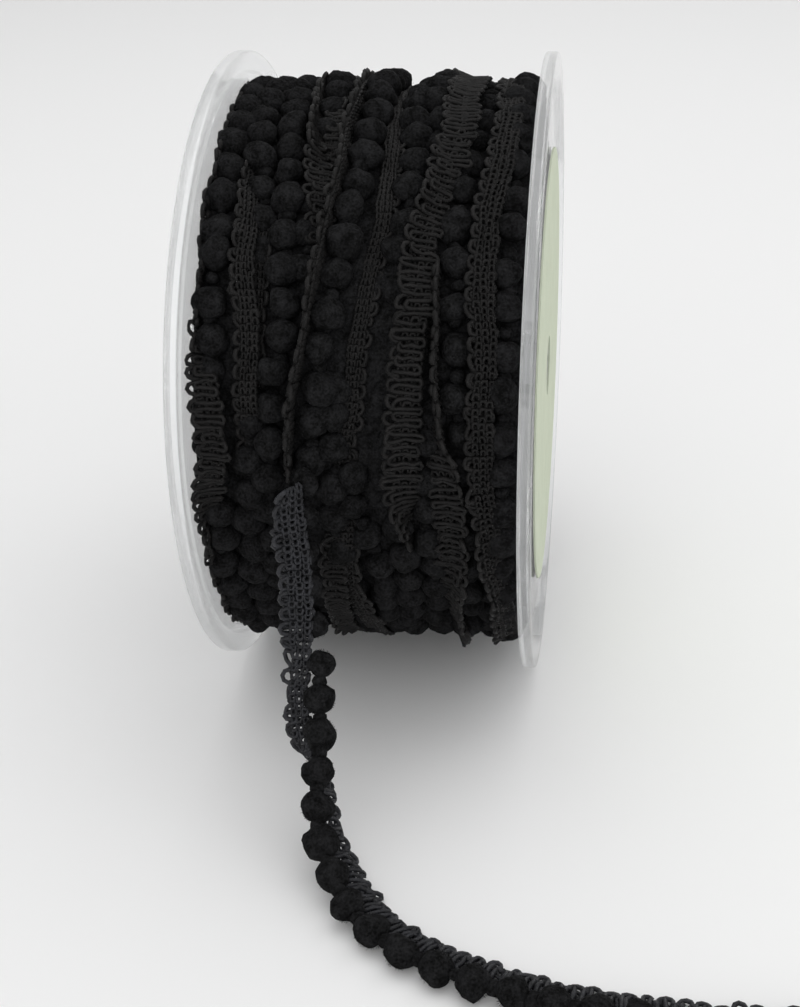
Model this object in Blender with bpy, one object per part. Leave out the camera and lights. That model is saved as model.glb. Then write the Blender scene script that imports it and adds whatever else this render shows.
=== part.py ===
"""Mini pompom fringe trim wound on a clear flanged spool, its free end hanging off the front.

The spool lies on its side: its axle runs along X, and it stands on the flats of its two
flanges at z = 0, below the origin's vertical.  The trim's free end leaves the front of the
roll (towards -Y), hangs down, turns over and runs along the surface towards +X.
"""
import math

import bmesh
import bpy
from mathutils import Vector

# Spool
FLANGE_RADIUS = 0.0510
FLAT_SPOT_DEPTH = 0.0004
AXLE_HEIGHT = FLANGE_RADIUS - FLAT_SPOT_DEPTH
FLANGE_GAP = 0.04835
FLANGE_THICKNESS = 0.0012
RIM_WIDTH = 0.0035
RIM_RISE = 0.0008
RIM_CHAMFER = 0.0003
BORE_RADIUS = 0.0050
CORE_RADIUS = 0.0130
FIT_GAP = 0.0003
FLANGE_SEGMENTS = 84
CORE_SEGMENTS = 42

# Label on the right flange
LABEL_RADIUS = 0.0360
LABEL_THICKNESS = 0.0003

# Trim
HEADING_WIDTH = 0.0042
HEADING_THICKNESS = 0.0010
POMPOM_RADIUS = 0.0025
POMPOM_PITCH = 0.0054
POMPOM_REACH = 0.0017
POMPOM_SUBDIVISIONS = 2

# Wound trim: the rows of pompoms as they lie across the spool
WINDING_RADIUS = 0.0450
WINDING_SEGMENTS = 96
WINDING_STEPS_ACROSS = 18
ROW_SPREAD = 0.0023
LUMP_SHARE = 0.3

# Each row's place along the axle, in mm, at the top, front and underside of the roll
POMPOM_ROWS = (
    # name, top, front, under, rise
    ("left edge", -21.5, -21.0, -21.5, 2.0),
    ("left inner", -14.2, -10.6, -13.0, 2.2),
    ("loose turn", 0.2, -4.2, -3.0, 2.2),
    ("middle", 7.0, 4.0, 5.0, 1.6),
    ("right inner", 13.0, 14.6, 12.0, 2.0),
    ("right edge", 21.0, 21.6, 21.2, 2.1),
)

# Hollow that the pompoms of the loose end lie in, where it leaves the roll
HOLLOW_PLACE = -0.0050
HOLLOW_ANGLE = math.radians(-3.0)
HOLLOW_WIDTH = 0.0048
HOLLOW_ARC = math.radians(20.0)
HOLLOW_DEPTH = 0.0009

# Loose end: the line where the pompoms join the heading, in mm, and the sides that the
# pompoms and the heading lie on, in degrees about the trim (0 right, 90 in front, 180 left,
# -90 behind); the trim is folded along that line where it hangs against the roll
LOOSE_END_ROUTE = (
    # across, forward, height, pompom side, heading side
    (-7.0, 49.7, 51.9, -30, 105),
    (-6.7, 50.1, 48.2, -60, 150),
    (-6.2, 50.8, 43.5, -100, 178),
    (-5.7, 51.7, 38.9, -115, 182),
    (-5.4, 53.3, 32.8, -100, 184),
    (-5.4, 54.9, 28.2, -50, 194),
    (-5.6, 56.5, 24.4, 5, 236),
    (-5.4, 58.8, 19.9, 30, 246),
    (-4.6, 61.7, 15.6, 50, 260),
    (-3.8, 64.7, 11.8, 75, 280),
    (-2.8, 68.1, 8.7, 100, 298),
    (-1.2, 72.0, 5.7, 128, 316),
    (1.7, 76.6, 3.5, 142, 328),
    (4.6, 81.2, 2.3, 150, 338),
    (8.0, 84.8, 1.8, 152, 344),
    (12.0, 87.9, 1.75, 152, 347),
    (16.6, 90.3, 1.75, 152, 347),
    (21.9, 92.4, 1.75, 152, 347),
    (27.0, 94.0, 1.75, 152, 347),
    (32.0, 95.3, 1.75, 152, 347),
    (39.0, 96.4, 1.75, 152, 347),
    (47.0, 97.0, 1.75, 152, 347),
    (55.0, 97.2, 1.75, 152, 347),
    (63.5, 96.6, 1.75, 152, 347),
    (70.5, 95.8, 1.75, 152, 347),
)
ROUTE_SAMPLES = 400

# How much the trim's level direction keeps to +X while it hangs
HANGING_LEAN = 0.15

# Edges sharper than this stay sharp in the shading
MOULDED_EDGE = math.radians(40)
PLUSH_EDGE = math.radians(70)

MM = 0.001

MATERIALS = {
    # name: linear colour, roughness, transmission
    "clear_plastic": ((0.84, 0.87, 0.90, 0.35), 0.08, 0.9),
    "green_paper": ((0.56, 0.65, 0.41, 1.0), 0.6, 0.0),
    "black_plush": ((0.010, 0.010, 0.012, 1.0), 0.95, 0.0),
    "black_yarn": ((0.022, 0.022, 0.026, 1.0), 0.6, 0.0),
}


def clear_scene():
    for item in list(bpy.data.objects):
        bpy.data.objects.remove(item, do_unlink=True)


def make_material(name):
    colour, roughness, transmission = MATERIALS[name]
    material = bpy.data.materials.new(name)
    material.use_nodes = True
    shader = material.node_tree.nodes["Principled BSDF"]
    shader.inputs["Base Color"].default_value = colour
    shader.inputs["Roughness"].default_value = roughness
    shader.inputs["Metallic"].default_value = 0.0
    shader.inputs["Transmission Weight"].default_value = transmission
    material.diffuse_color = colour
    return material


def add_object(name, bm, material, smooth_angle=MOULDED_EDGE):
    mesh = bpy.data.meshes.new(name)
    bmesh.ops.recalc_face_normals(bm, faces=bm.faces)
    bm.to_mesh(mesh)
    bm.free()
    mesh.shade_smooth()
    mesh.set_sharp_from_angle(angle=smooth_angle)
    mesh.materials.append(material)
    item = bpy.data.objects.new(name, mesh)
    bpy.context.collection.objects.link(item)
    return item


def turned_mesh(section_at, segments, floor=None):
    """A closed ring about the axle; section_at(step, angle) lists its (x, radius) points."""
    bm = bmesh.new()
    rings = []
    for step in range(segments):
        angle = 2 * math.pi * (step + 0.5) / segments - math.pi / 2
        ring = []
        for place, radius in section_at(step, angle):
            y = -radius * math.cos(angle)
            z = AXLE_HEIGHT + radius * math.sin(angle)
            if floor is not None:
                z = max(z, floor)
            ring.append(bm.verts.new((place, y, z)))
        rings.append(ring)
    for step in range(segments):
        here = rings[step]
        there = rings[(step + 1) % segments]
        for corner in range(len(here)):
            following = (corner + 1) % len(here)
            bm.faces.new((here[corner], here[following], there[following], there[corner]))
    return bm


def build_flange(name, side, material):
    inner = FLANGE_GAP / 2
    outer = inner + FLANGE_THICKNESS
    rim_foot = FLANGE_RADIUS - RIM_WIDTH
    rim_top = rim_foot + RIM_RISE
    section = (
        (inner, BORE_RADIUS),
        (inner, rim_foot),
        (inner, FLANGE_RADIUS),
        (outer + RIM_RISE - RIM_CHAMFER, FLANGE_RADIUS),
        (outer + RIM_RISE, FLANGE_RADIUS - RIM_CHAMFER),
        (outer + RIM_RISE, rim_top),
        (outer, rim_foot),
        (outer, BORE_RADIUS),
    )
    placed = [(side * place, radius) for place, radius in section]
    bm = turned_mesh(lambda step, angle: placed, FLANGE_SEGMENTS, floor=0.0)
    return add_object(name, bm, material)


def build_core(material):
    half = FLANGE_GAP / 2 - FIT_GAP
    section = ((-half, BORE_RADIUS), (-half, CORE_RADIUS), (half, CORE_RADIUS), (half, BORE_RADIUS))
    bm = turned_mesh(lambda step, angle: section, CORE_SEGMENTS)
    return add_object("spool_core", bm, material)


def build_label(material):
    near = FLANGE_GAP / 2 + FLANGE_THICKNESS + FIT_GAP
    far = near + LABEL_THICKNESS
    section = ((near, BORE_RADIUS), (near, LABEL_RADIUS), (far, LABEL_RADIUS), (far, BORE_RADIUS))
    bm = turned_mesh(lambda step, angle: section, FLANGE_SEGMENTS)
    return add_object("label", bm, material)


def row_place(row, angle):
    """Where a row lies along the axle; angle is 0 at the front and 90 degrees at the top."""
    _, top, front, under, _ = row
    upward = math.sin(angle)
    swing = (top - front) * max(upward, 0.0) + (under - front) * max(-upward, 0.0)
    return (front + swing) * MM


def winding_radius(place, angle, lump):
    radius = WINDING_RADIUS
    for row in POMPOM_ROWS:
        *_, rise = row
        away = (place - row_place(row, angle)) / ROW_SPREAD
        radius += rise * MM * math.exp(-away * away) * (1 - LUMP_SHARE + LUMP_SHARE * lump)
    across = (place - HOLLOW_PLACE) / HOLLOW_WIDTH
    around = (angle - HOLLOW_ANGLE) / HOLLOW_ARC
    return radius - HOLLOW_DEPTH * math.exp(-across * across - around * around)


def build_winding(material):
    half = FLANGE_GAP / 2 - FIT_GAP
    inner = CORE_RADIUS + FIT_GAP
    places = [-half + 2 * half * part / WINDING_STEPS_ACROSS for part in range(WINDING_STEPS_ACROSS + 1)]

    def section_at(step, angle):
        lump = 1 if step % 2 else -1
        outline = [(place, winding_radius(place, angle, lump)) for place in places]
        return [(-half, inner), *outline, (half, inner)]

    bm = turned_mesh(section_at, WINDING_SEGMENTS)
    return add_object("winding", bm, material, smooth_angle=PLUSH_EDGE)


def smooth_point(points, place):
    """A point on the Catmull-Rom curve through the points; place counts the points passed."""
    last = len(points) - 1
    first = min(int(place), last - 1)
    part = place - first
    p0 = points[max(first - 1, 0)]
    p1 = points[first]
    p2 = points[first + 1]
    p3 = points[min(first + 2, last)]
    return tuple(
        0.5 * (2 * b + (c - a) * part + (2 * a - 5 * b + 4 * c - d) * part ** 2
               + (3 * b - a - 3 * c + d) * part ** 3)
        for a, b, c, d in zip(p0, p1, p2, p3)
    )


def even_route():
    """Stations at half a pompom's pitch: (point, way to the pompoms, way to the heading, tangent)."""
    last = len(LOOSE_END_ROUTE) - 1
    fine = [smooth_point(LOOSE_END_ROUTE, last * step / ROUTE_SAMPLES) for step in range(ROUTE_SAMPLES + 1)]
    spots = [Vector((across, -forward, height)) * MM for across, forward, height, _, _ in fine]
    reached = [0.0]
    for here, there in zip(spots[:-1], spots[1:]):
        reached.append(reached[-1] + (there - here).length)
    count = int(reached[-1] / (POMPOM_PITCH / 2))
    stations = []
    index = 0
    for number in range(count + 1):
        target = number * POMPOM_PITCH / 2
        while index < ROUTE_SAMPLES - 1 and reached[index + 1] < target:
            index += 1
        share = (target - reached[index]) / (reached[index + 1] - reached[index])
        point = spots[index].lerp(spots[index + 1], share)
        tangent = (spots[index + 1] - spots[index]).normalized()
        level = across_direction(tangent)
        face = tangent.cross(level)
        ways = []
        for column in (3, 4):
            turn = math.radians(fine[index][column] * (1 - share) + fine[index + 1][column] * share)
            ways.append(level * math.cos(turn) + face * math.sin(turn))
        stations.append((point, *ways, tangent))
    return stations


def across_direction(tangent):
    """The level direction across the trim: +X where it hangs, turning with it on the floor."""
    level = Vector((-tangent.y, tangent.x, 0.0))
    hanging = Vector((1.0, 0.0, 0.0))
    side = level + hanging * HANGING_LEAN
    side -= tangent * side.dot(tangent)
    return side.normalized()


def build_heading(stations):
    bm = bmesh.new()
    rings = []
    for point, _, across, tangent in stations:
        edge = point + across * HEADING_WIDTH
        half = tangent.cross(across) * HEADING_THICKNESS / 2
        corners = (point - half, edge - half, edge + half, point + half)
        rings.append([bm.verts.new(corner) for corner in corners])
    for here, there in zip(rings[:-1], rings[1:]):
        for corner in range(4):
            following = (corner + 1) % 4
            bm.faces.new((here[corner], here[following], there[following], there[corner]))
    bm.faces.new(rings[0])
    bm.faces.new(rings[-1])
    return bm


def build_pompom_row(stations, material):
    bm = bmesh.new()
    for point, toward, _, _ in stations[1::2]:
        ball = bmesh.ops.create_icosphere(bm, subdivisions=POMPOM_SUBDIVISIONS, radius=POMPOM_RADIUS)
        middle = point + toward * POMPOM_REACH
        turn = Vector((0.0, 0.0, 1.0)).rotation_difference(toward).to_matrix().to_4x4()
        bmesh.ops.transform(bm, matrix=turn, verts=ball["verts"])
        bmesh.ops.translate(bm, vec=middle, verts=ball["verts"])
    row = add_object("pompom_row_cutter", bm, material)
    row.hide_render = True
    row.display_type = "WIRE"
    return row


def build_loose_end(heading_material, pompom_material):
    stations = even_route()
    row = build_pompom_row(stations, pompom_material)
    trim = add_object("loose_end", build_heading(stations), heading_material)
    joint = trim.modifiers.new("pompoms on heading", "BOOLEAN")
    joint.operation = "UNION"
    joint.solver = "EXACT"
    joint.object = row
    return trim


def main():
    clear_scene()
    clear_plastic = make_material("clear_plastic")
    black_plush = make_material("black_plush")
    build_flange("spool_flange_left", -1, clear_plastic)
    build_flange("spool_flange_right", 1, clear_plastic)
    build_core(clear_plastic)
    build_label(make_material("green_paper"))
    build_winding(black_plush)
    build_loose_end(make_material("black_yarn"), black_plush)


main()
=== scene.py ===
"""Looks of a black mini pompom fringe wound on a clear spool, its free end hanging in front."""
import math

import bmesh
import bpy
import numpy as np
from mathutils import Matrix, Vector


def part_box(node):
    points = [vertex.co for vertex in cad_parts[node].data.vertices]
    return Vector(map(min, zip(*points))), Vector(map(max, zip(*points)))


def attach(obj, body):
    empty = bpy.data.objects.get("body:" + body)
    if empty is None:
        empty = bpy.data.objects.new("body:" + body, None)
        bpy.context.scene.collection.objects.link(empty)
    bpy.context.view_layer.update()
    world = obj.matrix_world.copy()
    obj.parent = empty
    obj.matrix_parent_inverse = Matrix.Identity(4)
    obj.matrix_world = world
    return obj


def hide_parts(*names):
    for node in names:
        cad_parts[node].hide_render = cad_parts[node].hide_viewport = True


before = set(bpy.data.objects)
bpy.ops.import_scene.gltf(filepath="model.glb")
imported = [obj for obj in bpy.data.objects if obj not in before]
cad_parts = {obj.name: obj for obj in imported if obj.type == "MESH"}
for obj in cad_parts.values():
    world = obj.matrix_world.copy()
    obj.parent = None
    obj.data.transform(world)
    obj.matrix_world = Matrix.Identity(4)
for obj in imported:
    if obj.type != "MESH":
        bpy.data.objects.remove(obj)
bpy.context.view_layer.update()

MM = 0.001

# Camera, fitted to the photograph: angles in degrees, distance and height in metres, lens in mm
CAMERA_AZIMUTH = 8.568
CAMERA_ELEVATION = 22.0
CAMERA_TILT = 5.327
CAMERA_ROLL = 1.518
CAMERA_DISTANCE = 0.265
CAMERA_LENS = 55.07
CAMERA_AIM_HEIGHT = 0.05075

# Spool: the boxes of its nodes, and the measures that the boxes don't give
FLANGE_LOW, FLANGE_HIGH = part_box("spool_flange_right")
LABEL_LOW, LABEL_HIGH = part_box("label")
CORE_LOW, CORE_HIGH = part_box("spool_core")
AXLE_HEIGHT = (CORE_LOW.z + CORE_HIGH.z) / 2
FLANGE_RADIUS = FLANGE_HIGH.z - AXLE_HEIGHT
FLANGE_INNER = FLANGE_LOW.x
FLANGE_OUTER = FLANGE_HIGH.x
DISC_THICKNESS = 0.0012
RIM_WIDTH = 0.0035
BORE_RADIUS = 0.0050
CORE_RADIUS = (CORE_HIGH.z - CORE_LOW.z) / 2
LABEL_RADIUS = (LABEL_HIGH.z - LABEL_LOW.z) / 2
FIT_GAP = 0.0003
FLANGE_GAP = 0.0001
EDGE_ROUNDING = 0.35 * MM
RIM_SLOPE = 0.3 * MM
ARC_POINTS = 5
FLANGE_SEGMENTS = 220
CORE_SEGMENTS = 96
LABEL_SEGMENTS = 180
SHARP_DEGREES = 35

# Trim
POMPOM_RADIUS = 2.5 * MM
POMPOM_PITCH = 5.4 * MM
POMPOM_REACH = 1.7 * MM
PILLAR_PLACES = (0.45 * MM, 1.35 * MM, 2.25 * MM)
PILLAR_PITCH = 1.0 * MM
PILLAR_HALF_WIDTH = 0.38 * MM
PILLAR_DEPTH = 0.22 * MM
PILLAR_YARN = 0.28 * MM
WEFT_WIDTH = 2.9 * MM
WEFT_YARN = 0.37 * MM
WEFT_BOW = 0.14
FACE_SHIFT = 0.20 * MM
PICOT_PITCH = 2.4 * MM
PICOT_REACH = 0.9 * MM
PICOT_YARN = 0.36 * MM
KNIT_SIDES = 4
PICOT_SIDES = 5
HEADING_HALF = 2.1 * MM

# How uneven the knitting is: shares of a stitch, a pass or a loop, unless in mm
STITCH_START = 0.3
STITCH_STRAY = 0.1
STITCH_SWELL = 0.12
PASS_START = 0.5
PASS_BULGE = 0.16
PASS_STRAY = 0.15
PASS_SHIVER = 0.09
PASS_LIFT = 0.4
PICOT_SWELL = 0.16
PICOT_LEAN = 0.12
PICOT_LIFT = 0.35 * MM
HEADING_WAVER = 0.12 * MM
HEADING_WAVER_PITCH = 7 * MM

# Wound trim
ROLL_POMPOM_RADIUS = 44.3 * MM
ROLL_HEADING_RADIUS = 45.2 * MM

# How the turns waver, in mm and degrees, and the pitches that they waver over
PLACE_WAVER = 0.25
PLACE_WAVER_PITCH = 23 * MM
LIFT_WAVER = 0.2
LIFT_WAVER_PITCH = 17 * MM
TILT_WAVER = 7
TILT_WAVER_PITCH = 19 * MM

# How uneven the pompoms on the roll are: mm, mm, degrees and a share of their size
POMPOM_STRAY = 0.25
POMPOM_RISE = 0.2
POMPOM_SLIP = 0.5
POMPOM_UNEVEN = 0.05

# Their radii, in shares of their size, and the steps that a turn is read in for each pompom
POMPOM_LENGTHS = (0.92, 1.12)
POMPOM_BREADTH = 1.06
POMPOM_HEIGHT = 0.98
POMPOM_STEPS = 8

# Under turns: rows of lumps on the sides, and lumps round the rim
UNDERLAY_RADIUS = 43.4 * MM
UNDERLAY_SIDE_GAP = 0.4 * MM
UNDERLAY_ACROSS_STEPS = 26
UNDERLAY_SIDE_STEPS = 16
UNDERLAY_SEGMENTS = 260
SIDE_ROW_PITCH = 4.6 * MM
SIDE_ROW_DEPTH = 0.35 * MM
SIDE_LUMP_PITCH = 0.85 * MM
SIDE_LUMP_DEPTH = 0.3 * MM
SIDE_LUMP_TURN = 2.4
SIDE_SINK = 0.65 * MM
SIDE_CORE_MARGIN = 0.1 * MM
RIM_LUMPS = 46
RIM_LUMP_DEPTH = 0.5 * MM
RIM_LUMP_WIDTH = 0.8 * MM
RIM_SWAYS = 3
RIM_SWAY = 0.7
ON_FACE = 0.01 * MM

# Headings of the turns, from back over the top to the front and under, as they lie across the
# spool. Angles in degrees: 0 front, 90 top, 180 back, -90 under. Side is 1 where the picots are
# on the right, face is 1 where the chain stitches lie outwards and -1 where the weft does.
HEADINGS = {
    # side, width share, picot's reach share, face
    "turn_1": ((-1, 1.1, 1.3, -1), (
        # angle, place across in mm, lift in mm, tilt in degrees
        (180, -18.0, 0.6, 40),
        (120, -22.6, -0.8, 75),
        (90, -23.2, -1.5, 78),
        (35, -23.2, -1.7, 78),
        (24, -22.8, -0.8, 65),
        (15, -21.0, 1.7, -5),
        (2, -20.6, 1.7, -10),
        (-5, -21.8, 1.0, 30),
        (-12, -23.0, -0.2, 70),
        (-30, -23.2, -1.2, 75),
        (-60, -23.0, -1.0, 70),
        (-120, -18.4, 0.4, 40),
        (-180, -18.0, 0.6, 40),
    )),
    "turn_2": ((-1, 0.9, 0.8, 1), (
        (180, -8.6, 0.6, 30),
        (110, -17.6, -1.8, 30),
        (66, -18.4, -1.8, 50),
        (58, -18.1, -0.4, 50),
        (52, -17.6, 0.5, 40),
        (47, -17.3, 0.7, 30),
        (40, -17.1, 0.8, 15),
        (32, -16.4, 0.8, 10),
        (25, -15.9, 0.8, 10),
        (14, -15.8, 0.6, 15),
        (8, -15.9, -1.2, 20),
        (0, -16.0, -2.2, 20),
    )),
    "low_turn": ((1, 0.8, 0.5, 1), (
        (58, -14.2, -1.8, 0),
        (50, -13.9, -1.7, 0),
        (40, -13.8, -1.5, 0),
        (25, -13.7, -1.5, 0),
        (16, -13.9, -1.8, 0),
    )),
    "low_turn_back": ((1, 1.0, 1.0, 1), (
        (-40, -13.6, -2.0, 30),
        (-80, -10.6, 0.4, 30),
        (-180, -8.6, 0.6, 30),
    )),
    "narrow_turn": ((-1, 1.0, 1.0, -1), (
        (150, -11.0, -0.6, 50),
        (110, -11.0, 0.2, 70),
        (90, -10.8, 0.4, 70),
        (80, -10.4, 0.6, 68),
        (70, -9.3, 0.6, 60),
        (63, -8.2, 0.6, 40),
        (57, -7.2, 0.5, 15),
        (50, -6.6, 0.2, 10),
        (44, -6.6, -1.2, 10),
    )),
    "meander_turn": ((1, 0.75, 0.9, -1), (
        (130, -6.8, -0.6, 10),
        (90, -6.5, -0.2, 10),
        (78, -6.0, -0.1, 0),
        (70, -5.5, -0.4, 0),
        (62, -5.4, -1.8, 0),
    )),
    "loose_turn": ((-1, 0.9, 1.3, 1), (
        (200, -0.2, 0.8, 25),
        (150, -4.6, 0.6, 30),
        (110, -4.6, 1.0, 60),
        (84, -4.2, 1.2, 75),
        (63, -4.2, 1.6, 78),
        (53, -4.5, 1.8, 80),
        (43, -5.3, 2.0, 82),
        (36, -6.0, 2.2, 84),
        (29, -6.8, 2.2, 86),
        (24, -7.5, 2.2, 86),
        (18, -8.2, 2.2, 88),
        (11, -8.9, 2.2, 88),
        (5, -9.4, 2.0, 88),
        (0, -9.6, 1.6, 88),
    )),
    "turn_4": ((1, 0.8, 0.8, 1), (
        (180, 0.4, 0.6, 30),
        (120, 1.0, -0.6, 20),
        (60, 4.2, -1.4, 0),
        (54, 4.1, -0.7, 0),
        (48, 3.8, -1.0, 0),
        (42, 3.0, -2.2, 0),
        (35, 2.4, -1.9, 0),
        (24, 1.3, -1.5, 0),
        (15, 0.5, -1.5, 0),
        (6, -0.3, -1.5, 0),
        (0, -0.6, -2.2, 0),
        (-12, -0.8, -1.4, 0),
        (-18, -0.9, 0.2, 5),
        (-25, -1.1, 0.8, 5),
        (-35, 0.0, 0.8, 5),
        (-46, 0.7, 0.8, 5),
        (-80, 0.4, 0.6, 20),
        (-180, 0.4, 0.6, 30),
    )),
    "turn_5": ((-1, 1.35, 1.1, -1), (
        (180, 9.0, 0.6, 30),
        (120, 11.6, 1.0, 15),
        (90, 12.8, 1.6, 4),
        (77, 12.9, 1.5, 4),
        (70, 13.0, 1.4, 4),
        (64, 12.4, 1.4, 10),
        (59, 11.7, 1.3, 20),
        (52, 10.7, 1.2, 38),
        (46, 9.7, 1.1, 38),
        (40, 8.9, 1.1, 15),
        (31, 8.7, 1.1, 6),
        (19, 8.2, 1.1, 4),
        (11, 7.7, 1.1, 4),
        (3, 7.4, 1.0, 6),
        (-2, 7.2, 0.8, 20),
        (-7, 7.6, 0.2, 60),
        (-11, 8.0, -0.6, 70),
        (-16, 8.2, -2.0, 70),
    )),
    "turn_6": ((-1, 1.1, 0.9, 1), (
        (180, 17.6, 0.6, 30),
        (120, 18.8, 0.8, 12),
        (85, 19.4, 0.8, 0),
        (70, 19.9, 0.9, 0),
        (62, 19.3, 1.0, 4),
        (57, 18.7, 1.0, 10),
        (50, 17.9, 1.0, 15),
        (44, 17.8, 1.0, 10),
        (32, 18.0, 1.0, 6),
        (19, 18.4, 1.0, 6),
        (4, 18.4, 0.9, 8),
        (-1, 18.4, 0.9, 15),
        (-6, 19.0, 0.9, 20),
        (-11, 19.3, 0.9, 30),
        (-17, 19.6, 0.8, 45),
        (-23, 20.4, 0.8, 50),
        (-31, 20.9, 0.8, 50),
        (-41, 21.4, 0.8, 25),
        (-60, 21.0, 0.6, 20),
        (-100, 18.0, 0.6, 30),
        (-180, 17.6, 0.6, 30),
    )),
    "crossing_turn": ((1, 1.15, 0.8, -1), (
        (42, 11.2, -0.6, 70),
        (36, 11.4, 0.2, 75),
        (26, 11.9, 0.5, 78),
        (14, 12.0, 0.7, 75),
        (9, 12.4, 0.8, 60),
        (4, 13.6, 0.9, 20),
        (-3, 14.3, 0.9, 0),
        (-15, 14.6, 0.9, 0),
        (-21, 14.6, 0.8, 35),
        (-32, 14.4, 0.8, 50),
        (-46, 14.4, 0.6, 60),
        (-80, 12.0, 0.4, 30),
        (-180, 9.0, 0.6, 30),
    )),
    "under_turn_3": ((-1, 0.9, 0.9, -1), (
        (-12, -4.4, -1.2, 10),
        (-18, -4.5, 0.6, 0),
        (-25, -4.6, 1.2, 0),
        (-33, -5.0, 1.2, 0),
        (-50, -5.2, 0.8, 10),
        (-100, -4.2, 0.6, 30),
        (-160, -1.0, 0.6, 30),
    )),
}

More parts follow.
